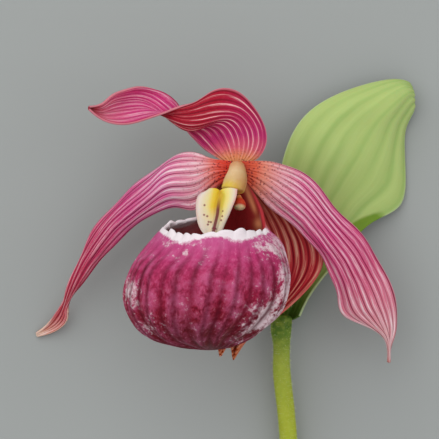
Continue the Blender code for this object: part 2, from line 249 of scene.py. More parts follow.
def veinedSkin(name, look):
    # living petal: a waxy, faintly translucent skin with veins that run its length
    look = {**veinedLook, **look}
    skin, tree, place = newSkin(name)
    split = addNode(tree, "SeparateXYZ", {0: place.outputs["UV"]})
    across, along = split.outputs[0], split.outputs[1]
    # the veins wander a little over every few millimetres
    drift = addNode(tree, "TexNoise", {"Vector": place.outputs["Object"], "Scale": 150.0, "Detail": 1.0})
    shift = addNode(tree, "Math", {"operation": "MULTIPLY_ADD", 0: drift, 1: look["wander"], 2: across})
    # streaks, long and thin, that break the veins up and mottle the field
    stretch = addNode(tree, "CombineXYZ", {0: shift, 1: along})
    streakSize = addNode(tree, "VectorMath", {
        "operation": "MULTIPLY", 0: stretch, 1: (look["streaks"], look["streakLong"], 1.0)})
    streak = addNode(tree, "TexNoise", {"Vector": streakSize, "Scale": 1.0, "Detail": 5.0, "Roughness": 0.65})
    ragged = addNode(tree, "Math", {"operation": "MULTIPLY_ADD", 0: streak, 1: 0.012, 2: shift})
    phase = addNode(tree, "Math", {"operation": "MULTIPLY", 0: ragged, 1: math.pi * look["veins"]})
    wave = addNode(tree, "Math", {"operation": "SINE", 0: phase})
    valley = addNode(tree, "Math", {"operation": "ABSOLUTE", 0: wave})
    # each vein starts thin at the heart
    swelling = addNode(tree, "MapRange", {0: along, 1: 0.05, 2: look["veinFrom"] * 1.7, 3: 0.35, 4: 1.0})
    thinned = addNode(tree, "Math", {"operation": "DIVIDE", 0: valley, 1: swelling})
    veinLine = addNode(tree, "MapRange", {
        0: thinned, 1: look["veinWidth"], 2: look["veinWidth"] * 0.3, 3: 0.0, 4: 1.0})
    # colour from the heart to the tip
    body = addNode(tree, "ValToRGB", {0: along, "stops": look["tones"]})
    # pale field between the veins, stronger where paleReach says
    paleLine = addNode(tree, "MapRange", {0: valley, 1: look["paleFrom"], 2: 1.0, 3: 0.0, 4: 1.0})
    streakMask = addNode(tree, "MapRange", {0: streak, 1: 0.45, 2: 0.58, 3: 0.0, 4: 1.0})
    paleReach = addNode(tree, "ValToRGB", {0: along, "stops": look["paleReach"]})
    paleHere = addNode(tree, "Math", {"operation": "MULTIPLY", 0: paleLine, 1: streakMask})
    paleAmount = addNode(tree, "Math", {"operation": "MULTIPLY", 0: paleHere, 1: paleReach})
    # a fine grain of cells, drawn about half a millimetre wide so that it shows
    cells = addNode(tree, "TexNoise", {"Vector": place.outputs["Object"], "Scale": 1900.0, "Detail": 2.0})
    grainMask = addNode(tree, "MapRange", {0: cells, 1: 0.42, 2: 0.68, 3: 0.0, 4: look["grainAmount"]})
    # no two veins are as strong, and fainter ones run between them
    finePhase = addNode(tree, "Math", {
        "operation": "MULTIPLY_ADD", 0: ragged, 1: math.pi * look["veins"] * 2.0, 2: math.pi / 2})
    fineWave = addNode(tree, "Math", {"operation": "SINE", 0: finePhase})
    fineValley = addNode(tree, "Math", {"operation": "ABSOLUTE", 0: fineWave})
    fineLine = addNode(tree, "MapRange", {
        0: fineValley, 1: look["veinWidth"] * 0.9, 2: look["veinWidth"] * 0.2, 3: 0.0, 4: look["fineVeins"]})
    bothVeins = addNode(tree, "Math", {"operation": "MAXIMUM", 0: veinLine, 1: fineLine})
    rowSize = addNode(tree, "VectorMath", {
        "operation": "MULTIPLY", 0: stretch, 1: (look["veins"] * 0.9, 2.4, 1.0)})
    rowNoise = addNode(tree, "TexNoise", {"Vector": rowSize, "Scale": 1.0, "Detail": 1.0})
    rowAmount = addNode(tree, "MapRange", {0: rowNoise, 1: 0.36, 2: 0.56, 3: look["faintest"], 4: 1.0})
    veinRow = addNode(tree, "Math", {"operation": "MULTIPLY", 0: bothVeins, 1: rowAmount})
    veinBreak = addNode(tree, "MapRange", {0: streak, 1: 0.3, 2: 0.55, 3: 0.55, 4: 1.0})
    veinHere = addNode(tree, "Math", {"operation": "MULTIPLY", 0: veinRow, 1: veinBreak})
    veinStart = addNode(tree, "MapRange", {
        0: along, 1: 0.0, 2: look["veinFrom"], 3: 0.15, 4: look["veinAmount"]})
    veinAmount = addNode(tree, "Math", {"operation": "MULTIPLY", 0: veinHere, 1: veinStart})
    # a thin margin tone at both edges
    centred = addNode(tree, "Math", {"operation": "SUBTRACT", 0: across, 1: 0.5})
    edge = addNode(tree, "Math", {"operation": "ABSOLUTE", 0: centred})
    edgeMask = addNode(tree, "MapRange", {
        0: edge, 1: 0.5 - look["marginWidth"], 2: 0.5, 3: 0.0, 4: look["marginAmount"]})
    layers = [(paleAmount, look["paleTone"]), (grainMask, look["paleTone"]),
              (veinAmount, look["veinTone"]), (edgeMask, look["marginTone"])]
    if "freckles" in look:
        # fine freckles near the heart
        speck = addNode(tree, "TexVoronoi", {"Vector": place.outputs["Object"], "Scale": 1300.0})
        speckDot = addNode(tree, "MapRange", {0: speck, 1: 0.36, 2: 0.2, 3: 0.0, 4: look["freckles"]})
        speckReach = addNode(tree, "MapRange", {0: along, 1: look["freckleReach"], 2: 0.02, 3: 0.0, 4: 1.0})
        speckMask = addNode(tree, "Math", {"operation": "MULTIPLY", 0: speckDot, 1: speckReach})
        layers.append((speckMask, look["veinTone"]))
    # where the mesh marks a painted strip, its tone goes over the rest: on the bract, a rolled edge's
    # underside green with painted shade
    if "shadeTone" in look:
        shade = addNode(tree, "Attribute", {"attribute_name": "shade"})
        layers.append((shade.outputs["Fac"], look["shadeTone"]))
    for mask, tone in layers:
        body = addNode(tree, "Mix", {"data_type": "RGBA", 0: mask, 6: body, 7: tone})
    # veins lie a little sunk, the cells between them puff
    lift = addNode(tree, "Math", {"operation": "MULTIPLY_ADD", 0: cells, 1: 0.25, 2: valley})
    bump = addNode(tree, "Bump", {"Height": lift, "Strength": look["bump"], "Distance": 0.0003})
    setNode(tree, tree.nodes["Principled BSDF"], {
        "Base Color": body, "Normal": bump, "Roughness": look["rough"],
        "Specular IOR Level": 0.12, "Subsurface Weight": 0.08, "Subsurface Scale": 0.001})
    return skin


# satin petal, pink: wine veins with a pale net between them, partly its own pattern and partly a painted
# satin highlight, and freckles at an orange throat
petalLook = {
    "tones": [(0.0, "#C4381C"), (0.05, "#DA5A3A"), (0.085, "#E08670"), (0.15, "#E0909A"),
              (0.24, "#DC6492"), (0.42, "#D03E7C"), (0.6, "#D04C78"), (0.75, "#DE7C90"),
              (0.9, "#E4A6A8"), (1.0, "#C8685C")],
    "veins": 9, "veinWidth": 0.38, "veinAmount": 1.0, "veinTone": "#6C0828", "veinFrom": 0.2,
    "wander": 0.03, "streaks": 64.0, "streakLong": 6.5, "paleFrom": 0.42, "paleTone": "#FFF0F2",
    "paleReach": [(0.0, 0.0), (0.09, 0.1), (0.17, 0.7), (0.3, 0.72), (0.5, 0.5), (0.7, 0.6),
                  (0.86, 0.9), (1.0, 0.8)],
    "grainAmount": 0.03, "marginWidth": 0.016, "marginAmount": 0.35, "marginTone": "#FAD0D4",
    "freckles": 0.85, "freckleReach": 0.3}
petalSkin = veinedSkin("petal_skin", petalLook)
# the left petal: redder along its far half, with a cream point
leftSkin = veinedSkin("left_petal_skin", {
    **petalLook,
    "tones": [(0.0, "#D8301A"), (0.045, "#E0442A"), (0.075, "#E47468"), (0.12, "#E494A0"),
              (0.24, "#DC649C"), (0.4, "#CE4080"), (0.55, "#C63062"), (0.75, "#BC2646"),
              (0.88, "#C03840"), (0.95, "#D88A74"), (1.0, "#F0CCAC")],
    # the pale streaks are strongest near the heart; partly its own pattern, partly painted highlight
    "paleReach": [(0.0, 0.0), (0.07, 0.2), (0.13, 0.9), (0.28, 0.75), (0.4, 0.42), (0.7, 0.4),
                  (0.9, 0.5), (1.0, 0.8)],
    "freckleReach": 0.2})
# the far side of both: duller, and cream along its margins
petalBack = veinedSkin("petal_back_skin", {
    **petalLook, "tones": [(0.0, "#C08060"), (0.3, "#C8608A"), (0.8, "#CC5A6E"), (1.0, "#D47A70")],
    "paleTone": "#F4CDC0", "marginTone": "#F4DEC4", "marginAmount": 0.7, "marginWidth": 0.06})

petalBlade = {"rows": 200, "cols": 64, "thick": 0.55, "rib": 0.16, "ribs": 5,
              "wave": 0.3, "waves": 5, "swell": 0.12}
leftPetal = {
    **petalBlade, "skin": leftSkin,
    "stations": [
        [(-1.2, 1.5, -.6), (-1.4, -.6, -.5), (-1.2, -2.6, -.6)],
        [(-6.5, 2.1, -.8), (-6.5, -.8, .8), (-6.2, -6, -.2)],
        [(-10.7, 3.4, -1.5), (-11.4, -2.4, 1.2), (-10.7, -10.9, -.5)],
        [(-15.4, 3.2, -3), (-16.9, -2.9, .5), (-14.8, -10.7, -2)],
        [(-22.2, -1.2, -5.5), (-22.1, -6.2, -1.5), (-20.6, -11.4, -4.5)],
        [(-28.6, -6.4, -8), (-28, -10.9, -4.5), (-27, -15.6, -7)],
        [(-34.7, -12.5, -11.5), (-33.6, -16.1, -8), (-32.1, -20.1, -10)],
        [(-39.6, -19.6, -15), (-38.2, -22.2, -11.5), (-36.4, -24.9, -13)],
        [(-43, -27.1, -18), (-41.8, -28.1, -15.5), (-40.5, -29.7, -17)],
        [(-45.3, -33, -19.7), (-44.5, -33.5, -18.9), (-43.6, -34, -19.9)],
        [(-46.7, -36.4, -22.2), (-45.8, -36.7, -22.3), (-45, -36.9, -21.9)],
        [(-49, -39.5, -24.1), (-47.1, -40.2, -24.5), (-45.1, -40.4, -23.3)],
        [(-51.8, -42.6, -25.8), (-50.5, -43.2, -26.2), (-49.1, -43.8, -25.4)],
        [(-53.9, -44.1, -26.5), (-53.8, -44.7, -26.6), (-53.5, -45.2, -26.5)],
    ]}
rightPetal = {
    **petalBlade, "skin": petalSkin,
    "stations": [
        [(1.2, -2.6, -.6), (1.4, -.6, -.5), (1.2, 1.5, -.6)],
        [(4.7, -6.5, -.4), (6.5, -2.1, .6), (6.5, 1.3, -1)],
        [(8.1, -9.9, -2), (10.9, -4.4, .5), (11.7, .6, -2)],
        [(12.5, -13.5, -3), (15.3, -7.5, 0), (17, -1.3, -3)],
        [(17, -17.2, -3.5), (19.5, -11.7, -.5), (22, -6.2, -4)],
        [(21.2, -21.9, -4.5), (24.3, -18, -2), (27.5, -12.5, -5)],
        [(24.1, -27.1, -6), (28.8, -23.7, -4), (33.3, -18.5, -7)],
        [(26.3, -33.2, -8), (32.5, -30.8, -6.5), (38.5, -26.9, -9.5)],
        [(27.7, -38, -10.5), (35.3, -37.2, -9), (42, -35.9, -12)],
        [(32.5, -41.2, -12), (38, -41.7, -11.5), (42.1, -42.6, -13.5)],
        [(38.9, -44.7, -13.5), (40, -45.8, -13.5), (40.8, -46.6, -14.5)],
        [(40, -51.3, -16), (40.3, -51.5, -16), (40.7, -51.5, -16)],
    ]}
for look, node in ((leftPetal, "petal_left"), (rightPetal, "petal_right")):
    # their laid faces look down, so the skin of the far side comes first
    blade = layGrid(node + "_blade", bladeSheet(look))
    petal = thicken(blade, look["thick"], 0.0, [petalBack, look["skin"]])
    standFor(petal, node)
print("petals laid")

# dorsal sepal: crimson inside, with broad dark veins
dorsalSkin = veinedSkin("dorsal_skin", {
    "tones": [(0.0, "#E49A5C"), (0.045, "#E48A5C"), (0.09, "#D4566C"), (0.15, "#BC2868"),
              (0.26, "#B0184C"), (0.38, "#AA0C2C"), (0.6, "#9E0820"), (1.0, "#B0243E")],
    "veins": 12, "veinWidth": 0.5, "veinAmount": 0.9, "veinTone": "#6E0418", "veinFrom": 0.2,
    "wander": 0.03, "streaks": 46.0, "streakLong": 5.0, "paleFrom": 0.88, "paleTone": "#FFC8C6",
    "paleReach": [(0.0, 0.2), (0.1, 0.7), (0.3, 0.9), (0.5, 0.65), (0.62, 0.45), (1.0, 0.4)],
    "fineVeins": 0.0, "grainAmount": 0.02, "marginWidth": 0.02, "marginAmount": 0.8,
    "marginTone": "#E08C98", "freckles": 0.5, "freckleReach": 0.14})
# its outside is pinker, and shows past the turn
dorsalBack = veinedSkin("dorsal_back_skin", {
    "tones": [(0.0, "#C8503C"), (0.3, "#CC3470"), (0.6, "#CE2C78"), (0.75, "#D23C80"),
              (0.88, "#D66480"), (0.95, "#B43040"), (0.98, "#7A1014"), (1.0, "#5C0C0E")],
    "veins": 10, "veinWidth": 0.28, "veinAmount": 0.6, "veinTone": "#981044",
    "wander": 0.012, "streaks": 46.0, "streakLong": 5.0, "paleFrom": 0.4, "paleTone": "#F6C0CC",
    "paleReach": [(0.0, 0.2), (0.5, 0.7), (0.88, 0.9), (0.94, 0.2), (1.0, 0.0)],
    "grainAmount": 0.08, "marginWidth": 0.03, "marginAmount": 0.6, "marginTone": "#B02C44"})
dorsalSepal = {
    "rows": 240, "cols": 64, "thick": 0.55, "rib": 0.16, "ribs": 4, "swell": 0.1,
    "stations": [
        [(-2.1, .8, -2), (0, .6, -1.8), (2.4, .8, -2)],
        [(-5.7, 2.8, -3.5), (.3, 3.9, -1.5), (5.8, 2.7, -2.5)],
        [(-8.6, 4.8, -4.5), (0, 7.3, -1.5), (7.6, 6.3, -3)],
        [(-11, 7.2, -5), (-1.7, 10.6, -.6), (7.1, 10.8, -3.5)],
        [(-12.9, 9.4, -6), (-4.3, 11.9, .2), (4.5, 15.5, -3.5)],
        [(-14, 11.8, -7), (-8, 10.9, 1), (-.2, 19.9, -3)],
        [(-14.6, 14.2, -7.6), (-12, 10, 1.1), (-5.7, 20.1, -1)],
        [(-15.6, 16.6, -7.7), (-15.6, 11.2, 0), (-10.1, 17.4, 0)],
        [(-18, 18.9, -7.2), (-18.8, 13.3, -2.2), (-14.5, 15.8, 1)],
        [(-21.3, 20.4, -5.8), (-21.9, 15.4, -4.6), (-18.4, 14.2, 2)],
        [(-25.3, 21, -3.5), (-25.1, 16.6, -5), (-22, 12.9, 3)],
        [(-28.9, 20.1, -1), (-29, 16.5, -4), (-25.9, 11.6, 4)],
        [(-32.2, 18.7, 1.5), (-32.6, 15.7, -1.5), (-30.3, 11, 5)],
        [(-34.7, 16.5, 3.5), (-35.3, 14.5, 2), (-34.4, 12, 6)],
        [(-38, 15.4, 8), (-38.2, 15.1, 7.5), (-38.1, 14.7, 8)],
    ]}
blade = layGrid("dorsal_sepal_blade", bladeSheet(dorsalSepal))
dorsal = thicken(blade, dorsalSepal["thick"], 0.0, [dorsalSkin, dorsalBack])
standFor(dorsal, "dorsal_sepal")
print("dorsal sepal laid")

# synsepal: dark red, with salmon stripes along its length; browner towards its base, partly its own colour
# and partly painted shade beside the lip
synsepalSkin = veinedSkin("synsepal_skin", {
    "tones": [(0.0, "#B06838"), (0.2, "#B8503C"), (0.45, "#C8343E"), (0.9, "#C02830"), (1.0, "#CC642E")],
    "veins": 19, "veinWidth": 0.5, "veinAmount": 0.92, "veinTone": "#780A1C", "wander": 0.012,
    "streaks": 60.0, "streakLong": 4.0, "paleFrom": 0.6, "paleTone": "#F8BCA0",
    "paleReach": [(0.0, 0.1), (0.2, 0.3), (0.4, 1.0), (1.0, 0.9)],
    "fineVeins": 0.0, "faintest": 0.7, "grainAmount": 0.0, "marginWidth": 0.03, "marginAmount": 0.4,
    "marginTone": "#D4786A", "freckles": 0.3, "freckleReach": 0.35})
synsepal = {
    "rows": 160, "cols": 72, "thick": 0.55, "rib": 0.16, "ribs": 5, "swell": 0.12,
    # the tip's two points: how long, then their seat, half width and start, and where they aim
    "teeth": (3.6, 2.7), "toothSeat": (0.6, 0.3, 0.86), "toothWay": (-0.12, -0.97, 0.22),
    "stations": [
        [(2.1, -1, -1.9), (0, -1.4, -1.9), (-2.1, -1, -1.9)],
        [(8.1, -4.9, -4), (.6, -5.9, -6), (-5.7, -5.4, -3)],
        [(15.8, -10.6, -6), (2.2, -12.5, -10), (-9.7, -11.7, -5)],
        [(21.3, -17.7, -7.5), (3.5, -19.1, -13), (-11.8, -19, -6)],
        [(22.6, -24.8, -8), (4.3, -25.7, -14.5), (-11.8, -25.6, -6)],
        [(18.7, -31.6, -8), (3.8, -33.1, -14), (-10.4, -32.6, -5)],
        [(11.6, -38.1, -6), (2.2, -39.6, -10.5), (-7.6, -39.4, -3)],
        [(4.4, -43.5, -2), (.3, -44.6, -4.5), (-4.2, -44.5, 0)],
        [(.6, -46.2, 2), (-2.3, -46.8, 1), (-5.2, -46.2, 2.2)],
    ]}
blade = layGrid("synsepal_blade", bladeSheet(synsepal))
lowerSepals = thicken(blade, synsepal["thick"], 0.0, [synsepalSkin])
standFor(lowerSepals, "synsepal")
print("synsepal laid")

# bract: a matt leaf with parallel veins, paler between them, and a darker strip where its edge rolls, partly
# the underside's own green and partly painted shade
bractSkin = veinedSkin("bract_skin", {
    "tones": [(0.0, "#4E6E20"), (0.04, "#64862C"), (0.12, "#94AE58"), (0.3, "#ABC070"),
              (0.8, "#B3C676"), (1.0, "#ACC276")],
    "veins": 7, "veinWidth": 0.75, "veinAmount": 0.5, "veinTone": "#86AA58", "wander": 0.03,
    "streaks": 14.0, "streakLong": 1.6, "paleFrom": 0.5, "paleTone": "#BACD80",
    "paleReach": [(0.0, 0.2), (0.3, 0.5), (1.0, 0.5)], "fineVeins": 0.2, "grainAmount": 0.06,
    "marginWidth": 0.016, "marginAmount": 0.7, "marginTone": "#CCDEA8",
    "shadeTone": "#74942E", "rough": 0.5, "bump": 0.2})
# its underside is a deeper green, dark red beneath the roll
bractUnder = veinedSkin("bract_under_skin", {
    "tones": [(0.0, "#4E6E20"), (0.4, "#74983A"), (1.0, "#84A848")],
    "veins": 9, "veinWidth": 0.5, "veinAmount": 0.5, "veinTone": "#5C822E", "wander": 0.01,
    "streaks": 16.0, "streakLong": 2.0, "paleFrom": 0.6, "paleTone": "#9CBC6A",
    "paleReach": [(0.0, 0.3), (1.0, 0.4)], "grainAmount": 0.06,
    "marginWidth": 0.02, "marginAmount": 0.3, "marginTone": "#98BC68",
    "shadeTone": "#7C1A30", "rough": 0.55, "bump": 0.3})
bract = {
    "rows": 200, "cols": 72, "thick": 0.55, "rib": 0.13, "ribs": 6, "swell": 0.25,
    # the painted roll, partly painted shade: its strip's width and how it widens, where, and over what length
    # it starts and ends
    "strip": 0.10, "widens": 0.22, "widest": 0.33, "spread": 0.09, "from": 0.2, "to": 0.47,
    "stations": [
        [(7.6, -39.3, -19.4), (12.2, -41.1, -25.4), (16.8, -39.3, -19.4)],
        [(7.4, -34, -19.6), (13.6, -35.2, -25.1), (19.2, -34.3, -19.5)],
        [(6.2, -25, -20.4), (15.5, -26.6, -24.6), (24.6, -27.1, -19.5)],
        [(8.6, -15.1, -21.6), (19.8, -17, -23), (29.7, -21, -21)],
        [(11, -3.9, -20.6), (24.3, -6.9, -20.8), (36.7, -14.2, -23)],
        [(14, 7.2, -20), (29.4, 2.6, -19), (44.2, -9.2, -25.8)],
        [(19.6, 15.2, -21.3), (34, 9.9, -18.5), (45.2, .2, -26.4)],
        [(28.2, 20.2, -22.3), (38.3, 15, -18.3), (45, 8.2, -26.2)],
        [(37.2, 23, -22.5), (42.8, 18.9, -18.8), (46, 12.6, -25.4)],
        [(43.6, 23.59, -22.3), (46.2, 20.7, -20), (47.35, 15.4, -24.4)],
        [(46.1, 22.7, -24), (47.34, 20, -22.8), (47.2, 16.3, -25.2)],
        [(43.8, 20.4, -25.4), (44.6, 19, -25), (44.8, 17.5, -25.7)],
        [(40.9, 18.6, -25.6), (41.2, 18.1, -25.5), (41.3, 17.6, -25.7)],
    ]}
sheet = bladeSheet(bract)
wide, far = np.meshgrid(np.linspace(-1, 1, sheet.shape[1]), np.linspace(0, 1, sheet.shape[0]))
# its lower right edge rolls over; a strip of the darker underside is painted there, its darkness partly
# painted shade where the roll turns from the light
strip = bract["strip"] + bract["widens"] * np.exp(-((far - bract["widest"]) / bract["spread"]) ** 2)
roll = (np.clip((wide - 1 + strip) / 0.05, 0, 1) * np.clip((far - bract["from"]) / 0.04, 0, 1)
        * np.clip((bract["to"] - far) / 0.03, 0, 1))
leaf = thicken(layGrid("bract_blade", sheet, {"shade": roll}), bract["thick"], 0.0, [bractSkin, bractUnder])
standFor(leaf, "bract")
print("bract laid")

# the pouch: a blown bag with furrows that fan down from a crenate rim
pouch = {
    "sides": 320, "rows": 76, "wall": 0.9, "furrows": 16, "furrow": 0.85, "lobe": 0.75, "lobes": 24,
    "mouth": (-4.3, 14.2),          # x and z of the middle of its mouth
    "core": (-7.0, -30.0, 14.5),    # a point inside the bag, to tell in from out
    "rim": [(6.9, -16.6, 14.2), (5.6, -16.4, 21), (1, -16.2, 26.4), (-4.9, -16.6, 28.2),
            (-10.7, -17.2, 26.8), (-16.4, -16.7, 21), (-18.9, -15.7, 14.2), (-16.2, -14.2, 7),
            (-11.5, -13.2, 3.6), (-7.4, -10.8, 2), (-4, -6.3, 1), (-1.6, -3.5, .62),
            (1.5, -3.4, .62), (5.2, -8.1, 1.6), (6.8, -11.7, 4), (7, -15.3, 8.5)],
    # middle x, y, z, half width, half depth, how much higher the back stands
    "rings": [(-5.6, -19.5, 14.6, 16.9, 15.6, 4.0), (-6.6, -24.0, 15.0, 19.6, 17.4, 1.6),
              (-7.7, -31.0, 15.0, 21.4, 18.0, 0.5), (-8.6, -37.5, 14.6, 19.9, 16.6, 0.0),
              (-9.6, -43.2, 14.0, 14.5, 12.0, 0.0), (-8.6, -46.0, 13.6, 8.4, 6.6, 0.0)],
    "toe": (-7.2, -47.1, 13.4),
    # white clouds, and the last, small and strong at the top of the bag, a painted highlight: middle x, y, z,
    # half width, half height, strength, and one depth for all
    "clouds": [(6.5, -38.5, 20, 4.5, 5.5, 1.25), (12.5, -31, 16, 3, 8, 1.2),
               (-27, -32, 18, 2.5, 4, 1.0), (9, -20.5, 20, 5, 3.5, .95), (-17, -19, 24, 5, 2, .5),
               # the last: a painted highlight, a glint at the top of the bag
               (0, -43, 26, 5, 3, .4), (-22, -40, 22, 5, 4, .45), (-13, -21.8, 30, .7, .7, 2.5)],
    "cloudGlintDeep": 14,
}


def rise(values, low, span):
    # 0 up to low, then a straight climb to 1
    return np.clip((values - low) / span, 0, 1)


def fall(values, high, span):
    # 1 until a straight drop that reaches 0 at high
    return np.clip((high - values) / span, 0, 1)


def pouchSheet(look):
    sides, rows = int(look["sides"] * fine), int(look["rows"] * fine)
    angle = np.linspace(0, 2 * math.pi, sides + 1)
    mouthX, mouthZ = look["mouth"]
    loop = np.asarray(look["rim"] * 3, float)
    turns = np.unwrap(np.arctan2(loop[:, 2] - mouthZ, loop[:, 0] - mouthX))
    turns -= turns[len(look["rim"])]
    begin = math.atan2(look["rim"][0][2] - mouthZ, look["rim"][0][0] - mouthX)
    levels = [curveThrough(turns, loop, angle - begin)]
    for mx, my, mz, wide, deep, back in look["rings"]:
        levels.append(np.stack([mx + wide * np.cos(angle), my - back * np.sin(angle),
                                mz + deep * np.sin(angle)], axis=1))
    levels.append(np.tile(np.array([look["toe"]]), (sides + 1, 1)))
    stack = np.stack(levels)
    s = np.linspace(0, 1, rows + 1)
    sheet = np.stack([curveThrough(lengthsAlong(stack[:, k]), stack[:, k], s)
                      for k in range(sides + 1)], axis=1)
    out = sheetNormals(sheet, closed=True)
    if np.sum(out[rows // 2] * (sheet[rows // 2] - np.array(look["core"]))) < 0:
        out = -out
    around, down = np.meshgrid(angle, s)
    # each main furrow leans its own way, most at the right shoulder, with fainter ones between
    count = look["furrows"]
    fan = 0.16 * np.exp(-((around - 0.65) / 0.4) ** 2) * (1 - np.clip(down * 2.2, 0, 1)) ** 1.5
    lean = around + 0.05 * np.sin(3 * around + 1.2) * down + 0.03 * np.sin(5 * around) * down - fan
    valley = 0.5 * (1 - np.cos(count * lean))
    between = (0.5 * (1 + np.cos(count * lean + 0.5 * np.sin(5 * around)))) ** 8
    grow = np.clip((down - 0.06) * 3, 0, 1) * np.clip((1 - down) * 5, 0, 1)
    puff = 0.22 * np.sin(around * 7 + down * 11) * np.sin(around * 4 - down * 17 + 2) * grow
    push = -look["furrow"] * valley ** 1.2 * grow - 0.28 * between * grow + puff
    # the rim: small rounded lobes that stand out and curl
    lobePhase = look["lobes"] * around / 2 + 1.0 * np.sin(3 * around) + 0.6 * np.sin(5 * around + 1)
    size = 0.72 + 0.42 * np.sin(4 * around + 0.6) * np.sin(9 * around)
    lobe = np.abs(np.sin(lobePhase)) ** 0.65 * size
    near = np.exp(-(down / 0.032) ** 2)
    # round the back the rim is plain, it carries its lobes in front and on the left
    front = rise(sheet[:1, :, 2], 3, 6) * np.ones_like(down)
    push = push + near * (0.62 * lobe - 0.1) * front
    sheet = sheet + out * push[:, :, None]
    sheet[:, :, 1] += near * (look["lobe"] * lobe - 0.42) * front
    sheet[:, -1] = sheet[:, 0]
    # masks the skin reads: depth of furrow, pale rim band, and where white clouds and one painted highlight
    # lie
    x, y, z = sheet[:, :, 0], sheet[:, :, 1], sheet[:, :, 2]
    reach = (0.030 + 0.046 * np.exp(-((x - 0.8) / 4.0) ** 2)
             + 0.040 * np.exp(-((x + 14.5) / 3.2) ** 2))
    bandSide = np.clip(np.maximum((sheet[:1, :, 2] - 4) / 6, (-9 - sheet[:1, :, 0]) / 2), 0, 1)
    band = np.exp(-(down / reach) ** 2.2) * bandSide
    # the back wall behind the rim: partly painted shade of that hollow
    back = fall(sheet[:1, :, 2], 9, 6) * rise(x, -12, 6) * np.clip(1.5 - down * 2.5, 0, 1)
    clouds = np.zeros_like(x)
    for cx, cy, cz, rx, ry, strength in look["clouds"]:
        clouds = clouds + strength * np.exp(
            -(((x - cx) / rx) ** 2 + ((y - cy) / ry) ** 2 + ((z - cz) / look["cloudGlintDeep"]) ** 2))
    each = 0.68 + 0.32 * np.sin(5.3 * lean + 1) * np.sin(2.3 * lean + 7 * down)   # none as dark as the next
    dark = (np.clip((0.55 * valley ** 3 + 0.6 * valley ** 14) * each + 0.75 * between, 0, 1)
            * np.clip((down - 0.03) * 4.5, 0, 1))
    # beside the heart: a salmon fold, a glow at its end, and a red edge
    fold = 0.8 * np.exp(-(((x - 3.9 + (y + 9) * 0.45) / 0.7) ** 2)) * rise(y, -13, 2) * fall(z, 9, 4)
    glow = np.exp(-(((x - 6.2) / 1.2) ** 2 + ((y + 14.8) / 1.3) ** 2)) * fall(z, 11, 4)
    lip = np.exp(-(down / 0.02) ** 2) * rise(x, 3, 2) * fall(z, 13, 4)
    return sheet, {"furrow": dark, "rimBand": band, "clouds": np.clip(clouds, 0, 1), "down": down,
                   "ridge": (1 - valley) * grow, "backWall": back,
                   "fold": np.clip(fold + glow, 0, 1), "redLip": lip}


